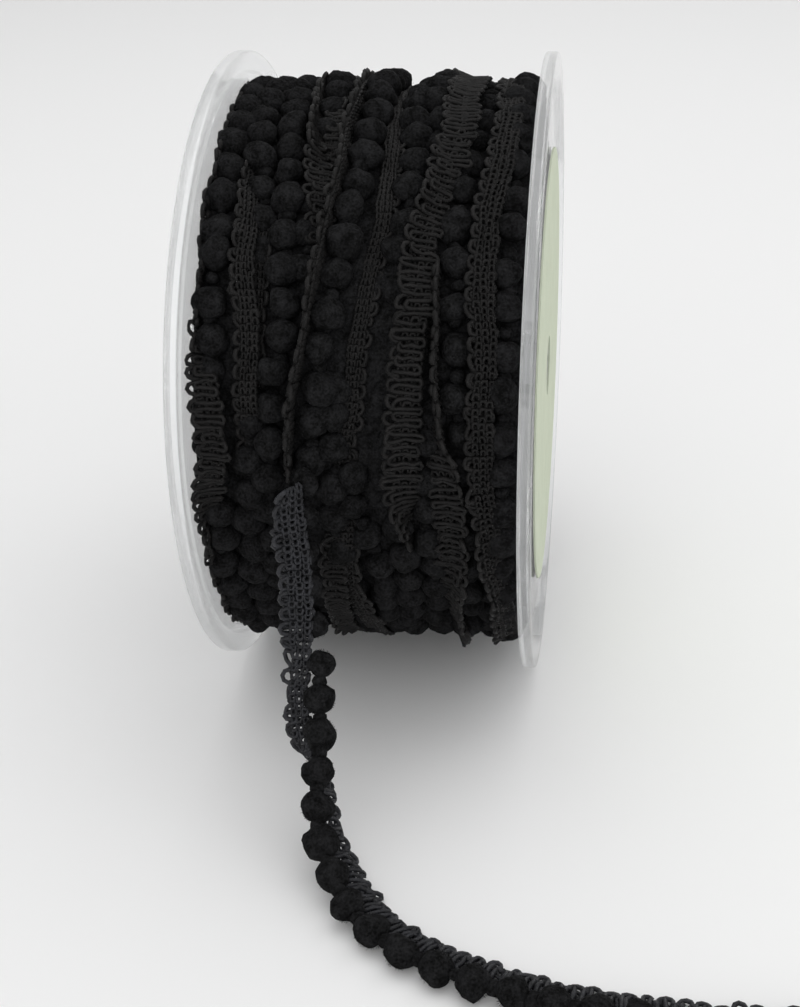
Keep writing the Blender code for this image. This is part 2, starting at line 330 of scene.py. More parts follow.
# Rows of pompoms round the roll
POMPOM_ROWS = {
    # pitch in mm, size share
    "turn_1": ((5.4, 0.97), (
        # angle, place across in mm, lift in mm
        (180, -21.4, 0.0), (120, -21.6, 0.2), (87, -21.3, 0.2), (70, -21.3, 0.3), (56, -21.0, 0.2),
        (42, -21.0, 0.2), (27, -21.3, 0.2), (18, -21.4, -0.2), (10, -21.4, -0.8), (0, -21.5, -0.6),
        (-6, -21.3, 0.1), (-11, -20.9, 0.2), (-25, -21.5, 0.2), (-60, -21.5, 0.2),
        (-180, -21.4, 0.0),
    )),
    "edge_turn": ((5.4, 0.95), (
        (180, -17.0, -0.4), (110, -18.2, 0.2), (80, -18.1, 0.5), (73, -17.5, 0.5), (66, -17.0, 0.4),
        (60, -16.1, 0.2), (53, -14.9, -0.2), (46, -14.4, -1.4), (40, -14.2, -2.6),
    )),
    "low_turn": ((5.4, 0.95), (
        (14, -15.6, -1.8), (8, -15.4, -0.6), (-3, -15.4, 0.0), (-9, -15.9, 0.1), (-17, -16.6, 0.1),
        (-26, -17.0, 0.1), (-32, -16.4, 0.1), (-60, -17.0, 0.0), (-180, -17.0, -0.4),
    )),
    "turn_2": ((5.3, 0.97), (
        (180, -12.6, 0.0), (120, -14.4, 0.2), (86, -14.5, 0.4), (78, -13.4, 0.4), (71, -12.8, 0.4),
        (64, -11.8, 0.3), (56, -11.3, 0.3), (42, -10.8, 0.3), (27, -10.5, 0.2), (20, -11.4, 0.2),
        (14, -12.2, 0.1), (7, -12.4, 0.0), (-2, -12.8, 0.0), (-9, -13.2, 0.0), (-60, -12.4, 0.0),
        (-180, -12.6, 0.0),
    )),
    "narrow_turn": ((5.4, 0.9), (
        (150, -7.4, -0.4), (100, -8.4, 1.4), (90, -8.2, 1.6), (82, -8.0, 0.8), (74, -7.8, -0.8),
        (66, -7.6, -1.6), (55, -7.4, -1.0), (49, -7.6, -0.6), (42, -7.8, -0.6), (36, -8.4, -1.4),
        (30, -8.8, -2.4),
    )),
    "loose_turn": ((5.2, 1.0), (
        (200, -3.8, 0.0), (150, -2.0, 0.2), (110, -1.0, 1.2), (95, -0.9, 1.8), (84, -0.9, 1.5),
        (76, -0.5, 1.0), (69, -0.8, 0.8), (63, -1.0, 0.8), (57, -1.6, 0.8), (50, -2.0, 0.8),
        (43, -2.4, 0.8), (36, -3.2, 0.8), (31, -4.1, 0.8), (24, -4.7, 0.8), (19, -4.9, 0.8),
        (13, -5.1, 0.7), (9, -5.5, 0.6), (3, -6.3, 0.4),
    )),
    "under_turn_3": ((5.4, 0.95), (
        (20, -2.8, -1.6), (13, -2.9, -0.2), (6, -2.6, 0.0), (0, -3.0, 0.0), (-6, -3.8, 0.1),
        (-14, -3.0, 0.0), (-30, -2.4, -0.6), (-50, -2.0, 0.0), (-100, -4.0, 0.0), (-160, -4.0, 0.0),
    )),
    "low_middle_turn": ((5.4, 0.92), (
        (0, -0.6, -1.4), (-5, -0.8, 0.0), (-12, 0.8, 0.0), (-21, 3.0, 0.0), (-30, 3.2, 0.0),
        (-50, 3.0, -0.4), (-70, 2.6, -1.6),
    )),
    "turn_4": ((5.3, 0.95), (
        (180, 4.6, 0.0), (84, 5.5, 0.0), (77, 5.4, 0.0), (70, 6.1, 0.1), (63, 7.0, 0.1),
        (57, 6.5, 0.0), (52, 6.7, 0.0), (45, 5.8, -0.2), (39, 5.4, -1.2), (30, 5.0, -2.2),
        (15, 4.4, -2.4), (0, 5.0, -2.0), (-8, 6.4, -0.8), (-14, 6.7, 0.0), (-29, 7.4, 0.0),
        (-40, 6.5, 0.0), (-80, 4.8, 0.0), (-180, 4.6, 0.0),
    )),
    "top_turn": ((5.4, 0.95), (
        (150, 8.8, -1.0), (100, 8.2, 1.6), (90, 8.0, 1.6), (82, 8.8, 1.0), (76, 9.4, 0.2),
        (68, 9.6, -1.4), (60, 9.4, -2.6),
    )),
    "turn_5": ((6.0, 0.9), (
        (180, 13.0, 0.0), (120, 15.6, 0.0), (80, 16.0, -1.2), (62, 14.6, -0.6), (53, 13.8, 0.0),
        (39, 14.0, 0.3), (25, 14.6, 0.4), (18, 15.0, 0.3), (12, 15.5, 0.1), (5, 15.8, -0.8),
        (-5, 15.8, -1.6), (-14, 16.4, -0.4), (-21, 16.6, 0.0), (-32, 16.2, 0.0), (-80, 13.4, 0.0),
        (-180, 13.0, 0.0),
    )),
    "right_low_turn": ((5.4, 0.92), (
        (-30, 18.8, -2.4), (-38, 18.8, -0.8), (-48, 18.6, 0.0), (-90, 18.0, 0.0),
        (-180, 17.6, -0.2),
    )),
    "crossing_turn": ((5.4, 0.92), (
        (24, 12.4, -2.4), (12, 11.0, -0.8), (6, 10.8, 0.0), (0, 10.8, 0.0), (-6, 10.5, 0.0),
        (-14, 11.0, 0.0), (-22, 11.4, 0.0), (-40, 11.2, 0.0), (-80, 9.4, -0.8), (-110, 9.0, -2.4),
    )),
    "turn_6": ((5.9, 0.92), (
        (180, 21.6, 0.0), (120, 21.4, 0.4), (92, 21.4, 1.0), (80, 21.6, 0.5), (57, 21.7, 0.2),
        (30, 21.6, 0.2), (-6, 21.7, 0.2), (-21, 21.4, 0.1), (-180, 21.6, 0.0),
    )),
}

# Loose end: the line where the pompoms join the heading, in mm, and the sides that the
# pompoms and the heading lie on, in degrees about the trim (0 right, 90 in front, 180 left,
# -90 behind); the trim is folded along that line where it hangs against the roll
LOOSE_END_ROUTE = (
    # across, forward, height, pompom side, heading side
    (-7.0, 49.7, 51.9, -30, 128),
    (-6.7, 50.1, 48.2, -60, 166),
    (-6.2, 50.8, 43.5, -100, 180),
    (-5.7, 51.7, 38.9, -115, 182),
    (-5.4, 53.3, 32.8, -100, 184),
    (-5.4, 54.9, 28.2, -50, 192),
    (-5.6, 56.5, 24.4, 5, 214),
    (-5.4, 58.8, 19.9, 30, 218),
    (-4.6, 61.7, 15.6, 50, 228),
    (-3.8, 64.7, 11.8, 75, 290),
    (-2.8, 68.1, 8.7, 100, 308),
    (-1.2, 72.0, 5.7, 128, 320),
    (1.7, 76.6, 3.5, 142, 328),
    (4.6, 81.2, 2.3, 150, 338),
    (8.0, 84.8, 1.8, 152, 344),
    (12.0, 87.9, 1.75, 152, 347),
    (16.6, 90.3, 1.75, 152, 347),
    (21.9, 92.4, 1.75, 152, 347),
    (27.0, 94.0, 1.75, 152, 347),
    (32.0, 95.3, 1.75, 152, 347),
    (39.0, 96.4, 1.75, 152, 347),
    (47.0, 97.0, 1.75, 152, 347),
    (55.0, 97.2, 1.75, 152, 347),
    (63.5, 96.6, 1.75, 152, 347),
    (70.5, 95.8, 1.75, 152, 347),
)
ROUTE_SAMPLES = 400

# How much the trim's level direction keeps to +X while it hangs
HANGING_LEAN = 0.15

# Heading of the loose end: its width share, its picots' reach share and its wave seed
LOOSE_END_WIDEN = 1.3
LOOSE_END_REACH = 1.0
LOOSE_END_SEED = 5

# Pompoms of the loose end. Over the pressed length, those that point back at the roll are
# flattened to the pressed share. Their size grows between the two places of SMALL_POMPOMS.
PRESSED_SHARE = 0.55
PRESSED_LENGTH = 27 * MM
PRESSED_REACH = 1.15
JOINED_SHARE = 0.95
SMALL_POMPOMS = ((24 * MM, 36 * MM), (0.82, 0.98))
FIRST_POMPOM = 0.5 * MM
LOOSE_UNEVEN = 0.03
LOOSE_LENGTHS = (0.94, 1.02)

# Tufts between the pompoms
LINK_SIZE = 0.46
LINK_DEPTH = 0.5 * MM

# Plush: its lumps, in shares of a pompom, and its hairs
LUMP_WAVES = 9
LUMP_RATES = (2.5, 11.0)
POMPOM_LUMPS = 0.18
LINK_LUMPS = 0.2
LINK_UNEVEN = 0.12
ANY_TURN = 6.28
WOUND_HAIRS = 110
LOOSE_HAIRS = 320
HAIR_LENGTH = 0.42 * MM
HAIR_LENGTHS = (0.5, 1.1)
HAIR_WIDTH = 0.03 * MM
HAIR_LEAN = 0.4
HAIR_ROOT = 0.95

# Slow waves that make the turns irregular
WAVE_SHARES = (0.6, 0.4)
SECOND_WAVE_PITCH = 0.618
SEED_TURNS = (2.4, 4.1)

# Steps along a heading, the angle that its corners are softened over, and the lift in mm below
# which a pompom is hidden and left out
RIBBON_STEP = 0.4 * MM
SOFTENED_DEGREES = 3.5
DEEPEST_LIFT = -2.2
GUIDE_LEAN = 0.01

# Seeds, so that every run gives the same trim
YARN_SEED = 31
LOOSE_POMPOM_SEED = 7
WOUND_POMPOM_SEED = 19
chance = np.random.default_rng(YARN_SEED)

# Fibre finishes
FINISHES = {
    # darkest colour, lightest colour, then roughness, gloss, fine grain and coarse grain in
    # lumps a metre, contrast and bump strength
    "black_plush_pile": (
        (0.004, 0.004, 0.004, 1.0), (0.018, 0.018, 0.019, 1.0),
        (0.95, 0.05, 2600.0, 620.0, 1.1, 0.8)),
    "black_filament_yarn": (
        (0.008, 0.008, 0.009, 1.0), (0.039, 0.040, 0.046, 1.0),
        (0.5, 0.25, 4200.0, 700.0, 0.8, 0.5)),
    # The same yarn as black_filament_yarn made darker: painted shade for the pressed, wound turns
    "black_wound_yarn_painted_shade": (
        (0.003, 0.003, 0.003, 1.0), (0.015, 0.014, 0.014, 1.0),
        (0.6, 0.2, 4200.0, 700.0, 0.8, 0.5)),
    "pale_green_paper": (
        (0.56, 0.61, 0.47, 1.0), (0.66, 0.71, 0.57, 1.0),
        (0.75, 0.1, 1500.0, 200.0, 0.5, 0.05)),
}
DARKEST_SHADE = 0.6
SHADE_SHARE = 0.8
BUMP_DEPTH = 0.3 * MM

# Light and floor
WORLD_STRENGTH = 0.60
LIGHT_AIM = (0.0, 0.0, 0.04)
LIGHTS = {
    # place, size, power
    "key_light": ((-0.22, -0.1, 0.85), 1.1, 1.0),
    "top_light": ((0.2, 0.25, 0.9), 1.3, 3.1),
    "right_fill": ((0.8, -0.5, 0.35), 0.8, 1.0),
    "front_fill": ((0.0, -0.75, 0.4), 0.8, 1.2),
}
FLOOR_COLOUR = (0.90, 0.90, 0.90, 1.0)
FLOOR_ROUGHNESS = 0.8
FLOOR_HALF_WIDTH = 3.0
FLOOR_FRONT = -5.0
FLOOR_BACK = 0.9
FLOOR_CURVE = 0.4
FLOOR_CURVE_STEPS = 16
WALL_TOP = 2.0


# Meshes

def mesh_object(name, points, faces, material):
    mesh = bpy.data.meshes.new(name)
    mesh.from_pydata(np.asarray(points).tolist(), [], faces)
    mesh.shade_smooth()
    mesh.materials.append(material)
    piece = bpy.data.objects.new(name, mesh)
    bpy.context.scene.collection.objects.link(piece)
    return piece


class MeshParts:
    """Collects closed little meshes into one."""

    def __init__(self):
        self.points = []
        self.faces = []
        self.count = 0

    def add(self, points, faces):
        self.points.append(points)
        self.faces.extend((faces + self.count).tolist() if isinstance(faces, np.ndarray)
                          else [[corner + self.count for corner in face] for face in faces])
        self.count += len(points)

    def build(self, name, material):
        return mesh_object(name, np.concatenate(self.points), self.faces, material)


def tube_faces(count, sides):
    ring = np.arange(sides)
    start = np.arange(count - 1)[:, None] * sides
    quads = np.stack([start + ring, start + (ring + 1) % sides,
                      start + sides + (ring + 1) % sides, start + sides + ring], axis=2)
    return quads.reshape(-1, 4)


def add_strand(parts, points, guide, radius, sides):
    """A tube along the points; guide is a direction at each point that isn't along the tube."""
    tangent = np.gradient(points, axis=0)
    tangent /= np.linalg.norm(tangent, axis=1)[:, None]
    side = np.cross(tangent, guide)
    side /= np.linalg.norm(side, axis=1)[:, None]
    over = np.cross(side, tangent)
    around = 2 * math.pi * np.arange(sides) / sides + math.pi / 2
    rings = (points[:, None, :] + radius * (np.cos(around)[None, :, None] * side[:, None, :]
                                            + np.sin(around)[None, :, None] * over[:, None, :]))
    count = len(points)
    parts.add(rings.reshape(-1, 3), tube_faces(count, sides)[:, ::-1])
    last = parts.count
    parts.faces.append([last - count * sides + corner for corner in range(sides)])
    parts.faces.append([last - 1 - corner for corner in range(sides)])


# Ribbons: the heading's own frame along its length

class Ribbon:
    """The line where pompoms join the heading, with the directions across and out of it."""

    def __init__(self, joint, across, normal):
        step = np.linalg.norm(np.diff(joint, axis=0), axis=1)
        self.reached = np.concatenate([[0.0], np.cumsum(step)])
        self.joint = joint
        self.across = across
        self.normal = normal
        self.length = self.reached[-1]

    def read(self, table, place):
        values = [np.interp(place, self.reached, column) for column in table.T]
        return np.stack(values, axis=-1)

    def point(self, place, width, depth):
        """place along, width across from the pompoms' edge, depth out of the face."""
        return (self.read(self.joint, place) + self.read(self.across, place) * width[..., None]
                + self.read(self.normal, place) * depth[..., None])


def wave(place, pitch, seed):
    """A slow irregular wave between about -1 and 1."""
    first = np.sin(2 * math.pi * place / pitch + seed * SEED_TURNS[0])
    second = np.sin(2 * math.pi * place / (pitch * SECOND_WAVE_PITCH) + seed * SEED_TURNS[1])
    return WAVE_SHARES[0] * first + WAVE_SHARES[1] * second


STITCH = np.array((
    # along, across, out of the face, in shares of a stitch
    (-0.15, -0.20, -1.0),
    (0.35, -1.00, 0.6),
    (0.95, -0.60, 1.0),
    (0.95, 0.60, 1.0),
    (0.35, 1.00, 0.6),
    (-0.15, 0.20, -1.0),
))

WEFT_PASS = np.array((
    # along, across, out of the face, in shares of a pass, the width and the yarn
    (0.00, 0.12, 0.3),
    (0.06, 0.50, -0.4),
    (0.00, 0.86, 0.4),
    (0.10, 1.04, 0.6),
    (0.50, 1.10, 0.8),
    (0.90, 1.04, 0.6),
))

PICOT = np.array((
    # along, across, out of the face, in shares of the pitch and the reach
    (0.10, -0.45, 0.2),
    (0.12, 0.25, 0.5),
    (0.22, 0.75, 0.8),
    (0.47, 1.00, 0.9),
    (0.74, 0.78, 0.8),
    (0.86, 0.28, 0.4),
    (0.80, -0.30, -0.2),
    (0.96, -0.52, -0.2),
))


def add_pillars(parts, ribbon, seed, widen, facing):
    count = int(ribbon.length / PILLAR_PITCH) - 1
    for index, middle in enumerate(PILLAR_PLACES):
        for number in range(count):
            stray = STITCH_STRAY * chance.normal()
            along = (number + STITCH_START + STITCH[:, 0] + stray) * PILLAR_PITCH
            swell = 1 + STITCH_SWELL * chance.normal()
            width = (middle + STITCH[:, 1] * PILLAR_HALF_WIDTH * swell) * widen
            width = width + HEADING_WAVER * wave(along, HEADING_WAVER_PITCH, seed + index)
            depth = STITCH[:, 2] * PILLAR_DEPTH * swell + facing * FACE_SHIFT
            along = np.clip(along, 0.0, ribbon.length)
            points = ribbon.point(along, width, depth)
            guide = ribbon.read(ribbon.normal, along) + GUIDE_LEAN
            add_strand(parts, points, guide, PILLAR_YARN * swell, KNIT_SIDES)


def add_weft(parts, ribbon, seed, widen, facing):
    count = int(ribbon.length / PILLAR_PITCH) - 1
    alongs = []
    widths = []
    depths = []
    for number in range(count):
        outward = number % 2 == 0
        across = WEFT_PASS[:, 1] if outward else 1 - WEFT_PASS[:, 1]
        bulge = 1 + PASS_BULGE * chance.normal()
        middle = 0.5 + (across - 0.5) * bulge
        if facing > 0:
            middle = np.maximum(middle, 0.0)
        bow = WEFT_BOW * np.sin(math.pi * np.clip(across, 0, 1)) * (-1 if outward else 1)
        stray = PASS_STRAY * chance.normal() + PASS_SHIVER * chance.normal(size=len(WEFT_PASS))
        lift = 1 + PASS_LIFT * chance.normal()
        alongs.append((number + PASS_START + WEFT_PASS[:, 0] + bow + stray) * PILLAR_PITCH)
        widths.append(middle * WEFT_WIDTH * widen)
        depths.append(WEFT_PASS[:, 2] * WEFT_YARN * lift - facing * FACE_SHIFT)
    along = np.clip(np.concatenate(alongs), 0.0, ribbon.length)
    width = np.concatenate(widths) + HEADING_WAVER * wave(along, HEADING_WAVER_PITCH, seed)
    points = ribbon.point(along, width, np.concatenate(depths))
    add_strand(parts, points, ribbon.read(ribbon.normal, along), WEFT_YARN, KNIT_SIDES)


def add_picots(parts, ribbon, seed, widen, reach):
    count = int(ribbon.length / PICOT_PITCH)
    alongs = []
    widths = []
    depths = []
    for number in range(count):
        size = 1 + PICOT_SWELL * chance.normal()
        lean = PICOT_LEAN * chance.normal()
        lift = PICOT_LIFT * chance.normal()
        outward = np.maximum(PICOT[:, 1], 0.0)
        alongs.append((number + PICOT[:, 0] + lean * outward) * PICOT_PITCH)
        widths.append(WEFT_WIDTH * widen + PICOT[:, 1] * PICOT_REACH * reach * size)
        depths.append(PICOT[:, 2] * PICOT_YARN + outward * lift)
    along = np.clip(np.concatenate(alongs), 0.0, ribbon.length)
    width = np.concatenate(widths) + HEADING_WAVER * wave(along, HEADING_WAVER_PITCH, seed)
    points = ribbon.point(along, width, np.concatenate(depths))
    add_strand(parts, points, ribbon.read(ribbon.normal, along), PICOT_YARN, PICOT_SIDES)


def heading_parts(ribbon, seed, widen, reach, facing):
    """facing is 1 where the chain stitches lie outwards and -1 where the weft does."""
    parts = MeshParts()
    add_pillars(parts, ribbon, seed, widen, facing)
    add_weft(parts, ribbon, seed, widen, facing)
    add_picots(parts, ribbon, seed, widen, reach)
    return parts


# Pompoms

def unit_ball(subdivisions):
    bm = bmesh.new()
    bmesh.ops.create_icosphere(bm, subdivisions=subdivisions, radius=1.0)
    points = np.array([vert.co[:] for vert in bm.verts])
    faces = np.array([[vert.index for vert in face.verts] for face in bm.faces])
    bm.free()
    return points, faces


BALL_POINTS, BALL_FACES = unit_ball(3)
LINK_POINTS, LINK_FACES = unit_ball(2)


def lumpy(directions, generator, strength):
    """How far the plush stands out in each direction."""
    height = np.zeros(len(directions))
    for _ in range(LUMP_WAVES):
        axis = generator.normal(size=3)
        axis /= np.linalg.norm(axis)
        rate = generator.uniform(*LUMP_RATES)
        height += np.sin(rate * directions @ axis + generator.uniform(0, ANY_TURN)) / rate
    return 1 + strength * height


def add_pompom(parts, hairs, centre, frame_axes, shape, generator, hair_count):
    """One pompom; shape gives its radii along the three frame_axes."""
    spin = Matrix.Rotation(generator.uniform(0, ANY_TURN), 3, "Z")
    directions = BALL_POINTS @ np.array(spin)
    height = lumpy(directions, generator, POMPOM_LUMPS)
    turned_axes = np.array(frame_axes)
    parts.add(((directions * height[:, None]) * shape) @ turned_axes + centre, BALL_FACES)
    add_hairs(hairs, centre, turned_axes, shape, generator, hair_count)


def add_link(parts, centre, frame_axes, radius, generator):
    """The small tuft between two pompoms."""
    height = lumpy(LINK_POINTS, generator, LINK_LUMPS)
    shape = radius * (1 + LINK_UNEVEN * generator.normal(size=3))
    parts.add(((LINK_POINTS * height[:, None]) * shape) @ np.array(frame_axes) + centre, LINK_FACES)


def add_hairs(hairs, centre, turned_axes, shape, generator, count):
    direction = generator.normal(size=(count, 3))
    direction /= np.linalg.norm(direction, axis=1)[:, None]
    root = (direction * shape * HAIR_ROOT) @ turned_axes
    lean = direction @ turned_axes + HAIR_LEAN * generator.normal(size=(count, 3))
    lean /= np.linalg.norm(lean, axis=1)[:, None]
    side = np.cross(lean, generator.normal(size=(count, 3)))
    side /= np.linalg.norm(side, axis=1)[:, None]
    length = HAIR_LENGTH * generator.uniform(*HAIR_LENGTHS, size=(count, 1))
    third = np.cross(lean, side)
    corners = np.stack([
        root + side * HAIR_WIDTH,
        root - side * HAIR_WIDTH / 2 + third * HAIR_WIDTH,
        root - side * HAIR_WIDTH / 2 - third * HAIR_WIDTH,
        root + lean * length,
    ], axis=1) + centre
    base = np.arange(count)[:, None] * 4
    faces = np.concatenate([base + [0, 1, 3], base + [1, 2, 3], base + [2, 0, 3], base + [0, 2, 1]])
    hairs.add(corners.reshape(-1, 3), faces)


# Turns on the roll

def read_turn(table, step):
    """The turn's values at even steps of angle, softened so that no corner shows."""
    rows = np.array(table, float)
    rows = rows[np.argsort(rows[:, 0])]
    angles = np.arange(rows[0, 0], rows[-1, 0], step)
    reach = int(SOFTENED_DEGREES / step)
    window = np.hanning(2 * reach + 3)[1:-1]
    window /= window.sum()
    values = [np.interp(angles, rows[:, 0], column) for column in rows[:, 1:].T]
    padded = [np.pad(value, reach, mode="edge") for value in values]
    soft = [np.convolve(value, window, mode="valid") for value in padded]
    return angles, np.stack(soft, axis=1)


def roll_point(angle, place, radius):
    turn = np.radians(angle)
    return np.stack([place, -radius * np.cos(turn), AXLE_HEIGHT + radius * np.sin(turn)], axis=-1)


def turn_ribbon(table, side, seed):
    step = math.degrees(RIBBON_STEP / ROLL_HEADING_RADIUS)
    angles, values = read_turn(table, step)
    place, lift, tilt = values.T
    arc = np.radians(angles) * ROLL_HEADING_RADIUS
    place = place + PLACE_WAVER * wave(arc, PLACE_WAVER_PITCH, seed)
    lift = lift + LIFT_WAVER * wave(arc, LIFT_WAVER_PITCH, seed + 1)
    lean = np.radians(tilt + TILT_WAVER * wave(arc, TILT_WAVER_PITCH, seed + 2))
    turn = np.radians(angles)
    radial = np.stack([np.zeros(len(turn)), -np.cos(turn), np.sin(turn)], axis=1)
    axle = np.array([1.0, 0.0, 0.0])
    across = (np.cos(lean) * side)[:, None] * axle + np.sin(lean)[:, None] * radial
    normal = np.cos(lean)[:, None] * radial - (np.sin(lean) * side)[:, None] * axle
    middle = roll_point(angles, place * MM, ROLL_HEADING_RADIUS + lift * MM)
    joint = middle - across * HEADING_HALF
    return Ribbon(joint, across, normal)


def roll_axes(angle):
    """Along the turn, across it and out of the roll."""
    turn = math.radians(angle)
    along = (0.0, math.sin(turn), math.cos(turn))
    across = (1.0, 0.0, 0.0)
    outward = (0.0, -math.cos(turn), math.sin(turn))
    return along, across, outward


def add_turn_pompoms(parts, hairs, table, pitch, share, generator):
    step = math.degrees(pitch / ROLL_POMPOM_RADIUS)
    half = POMPOM_STEPS // 2
    angles, values = read_turn(table, step / POMPOM_STEPS)
    start = int(generator.integers(0, POMPOM_STEPS))
    limit = FLANGE_INNER / MM - POMPOM_RADIUS / MM
    for index in range(start, len(angles), half):
        is_link = (index - start) % POMPOM_STEPS == half
        place = values[index, 0] + POMPOM_STRAY * generator.normal()
        place = min(max(place, -limit), limit)
        lift = values[index, 1] + POMPOM_RISE * generator.normal()
        angle = angles[index] + POMPOM_SLIP * generator.normal()
        axes = roll_axes(angle)
        radius = POMPOM_RADIUS * share * (1 + POMPOM_UNEVEN * generator.normal())
        if lift < DEEPEST_LIFT:
            continue
        if is_link:
            centre = roll_point(angle, place * MM, ROLL_POMPOM_RADIUS + lift * MM - LINK_DEPTH)
            add_link(parts, centre, axes, radius * LINK_SIZE, generator)
        else:
            centre = roll_point(angle, place * MM, ROLL_POMPOM_RADIUS + lift * MM)
            length = generator.uniform(*POMPOM_LENGTHS)
            shape = radius * np.array((length, POMPOM_BREADTH, POMPOM_HEIGHT))
            add_pompom(parts, hairs, centre, axes, shape, generator, WOUND_HAIRS)


# The loose end

def smooth_point(points, place):
    """A point on the smooth curve through the points; place counts the points passed."""
    last = len(points) - 1
    first = min(int(place), last - 1)
    part = place - first
    before = np.array(points[max(first - 1, 0)])
    here = np.array(points[first])
    there = np.array(points[first + 1])
    after = np.array(points[min(first + 2, last)])
    return 0.5 * (2 * here + (there - before) * part
                  + (2 * before - 5 * here + 4 * there - after) * part ** 2
                  + (3 * here - before - 3 * there + after) * part ** 3)


def loose_route():
    """Joint line, ways to the pompoms and to the heading, and tangent, at small even steps."""
    last = len(LOOSE_END_ROUTE) - 1
    fine = np.array([smooth_point(LOOSE_END_ROUTE, last * step / ROUTE_SAMPLES)
                     for step in range(ROUTE_SAMPLES + 1)])
    joint = np.stack([fine[:, 0], -fine[:, 1], fine[:, 2]], axis=1) * MM
    reached = np.concatenate([[0.0], np.cumsum(np.linalg.norm(np.diff(joint, axis=0), axis=1))])
    places = np.arange(0, reached[-1], RIBBON_STEP)
    joint = np.stack([np.interp(places, reached, joint[:, axis]) for axis in range(3)], axis=1)
    tangent = np.gradient(joint, axis=0)
    tangent /= np.linalg.norm(tangent, axis=1)[:, None]
    level = np.stack([-tangent[:, 1] + HANGING_LEAN, tangent[:, 0], np.zeros(len(places))], axis=1)
    level -= tangent * np.sum(level * tangent, axis=1)[:, None]
    level /= np.linalg.norm(level, axis=1)[:, None]
    face = np.cross(tangent, level)
    ways = []
    for column in (3, 4):
        turn = np.radians(np.interp(places, reached, fine[:, column]))
        ways.append(level * np.cos(turn)[:, None] + face * np.sin(turn)[:, None])
    return joint, ways[0], ways[1], tangent


def rest_on_floor(parts):
    for points in parts.points:
        points[:, 2] = np.maximum(points[:, 2], 0.0)


def build_loose_end(yarn, plush):
    joint, toward, across, tangent = loose_route()
    ribbon = Ribbon(joint, across, np.cross(across, tangent))
    knitted = heading_parts(ribbon, LOOSE_END_SEED, LOOSE_END_WIDEN, LOOSE_END_REACH, 1)
    rest_on_floor(knitted)
    heading = knitted.build("loose_end_heading", yarn)
    balls = MeshParts()
    hairs = MeshParts()
    generator = np.random.default_rng(LOOSE_POMPOM_SEED)
    for number in range(1, int(2 * ribbon.length / POMPOM_PITCH) + 1):
        place = np.array(FIRST_POMPOM + (number - 1) * POMPOM_PITCH / 2)
        spot = ribbon.read(joint, place)
        way = ribbon.read(toward, place)
        along = ribbon.read(tangent, place)
        axes = (along, way, np.cross(along, way))
        pressed = place < PRESSED_LENGTH
        size = float(np.interp(place, *SMALL_POMPOMS)) + LOOSE_UNEVEN * generator.normal()
        radius = POMPOM_RADIUS * size
        flat = 1 - (1 - PRESSED_SHARE) * max(way[1], 0.0) if pressed else 1.0
        reach = POMPOM_REACH * (PRESSED_REACH if pressed else 1.0)
        middle = spot + way * min(reach, radius * flat * JOINED_SHARE)
        is_link = number % 2 == 0
        if is_link and place < PRESSED_LENGTH + POMPOM_RADIUS:
            continue
        if is_link:
            add_link(balls, middle, axes, radius * LINK_SIZE, generator)
        else:
            shape = radius * np.array((generator.uniform(*LOOSE_LENGTHS), flat, POMPOM_HEIGHT))
            add_pompom(balls, hairs, middle, axes, shape, generator, LOOSE_HAIRS)
    rest_on_floor(balls)
    rest_on_floor(hairs)
    pompoms = balls.build("loose_end_pompoms", plush)
    fuzz = hairs.build("loose_end_fuzz", plush)
    for piece, slot in ((heading, "black_yarn"), (pompoms, "black_plush"), (fuzz, "black_plush")):
        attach(piece, "root")
    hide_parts("loose_end")


def keep_between_flanges(parts):
    limit = FLANGE_INNER - FLANGE_GAP
    for points in parts.points:
        points[:, 0] = np.clip(points[:, 0], -limit, limit)


def build_turns(yarn, plush):
    for seed, (name, (manner, table)) in enumerate(HEADINGS.items()):
        side, widen, reach, facing = manner
        parts = heading_parts(turn_ribbon(table, side, seed), seed, widen, reach, facing)
        keep_between_flanges(parts)
        heading = parts.build(name + "_heading", yarn)
        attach(heading, "root")
    balls = MeshParts()
    hairs = MeshParts()
    generator = np.random.default_rng(WOUND_POMPOM_SEED)
    for (pitch, share), table in POMPOM_ROWS.values():
        add_turn_pompoms(balls, hairs, table, pitch * MM, share, generator)
    for name, parts in (("wound_pompoms", balls), ("wound_fuzz", hairs)):
        keep_between_flanges(parts)
        piece = parts.build(name, plush)
        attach(piece, "root")


# Turned pieces of the spool

def turned(name, section, segments, material, floor=None):
    """Turns a closed section of (x, radius) points about the axle."""
    turn = 2 * math.pi * (np.arange(segments) + 0.5) / segments
    section = np.array(section)
    place = np.tile(section[:, 0], segments)
    radius = np.tile(section[:, 1], segments)
    angle = np.repeat(turn, len(section))
    height = AXLE_HEIGHT + radius * np.sin(angle)
    points = np.stack([place, -radius * np.cos(angle), height], axis=1)
    if floor is not None:
        points[:, 2] = np.maximum(points[:, 2], floor)
    corners = len(section)
    faces = []
    for step in range(segments):
        here = step * corners
        there = (step + 1) % segments * corners
        for corner in range(corners):
            following = (corner + 1) % corners
            faces.append((here + corner, here + following, there + following, there + corner))
    piece = mesh_object(name, points, faces, material)
    bm = bmesh.new()
    bm.from_mesh(piece.data)
    bmesh.ops.recalc_face_normals(bm, faces=bm.faces)
    bm.to_mesh(piece.data)
    bm.free()
    piece.data.shade_smooth()
    piece.data.set_sharp_from_angle(angle=math.radians(SHARP_DEGREES))
    return piece


def round_corner(middle, radius, start, end):
    """Points of an arc in the section; angles in degrees, 0 along the axle outwards."""
    points = []
    for step in range(ARC_POINTS):
        angle = math.radians(start + (end - start) * step / (ARC_POINTS - 1))
        points.append((middle[0] + radius * math.cos(angle), middle[1] + radius * math.sin(angle)))
    return points


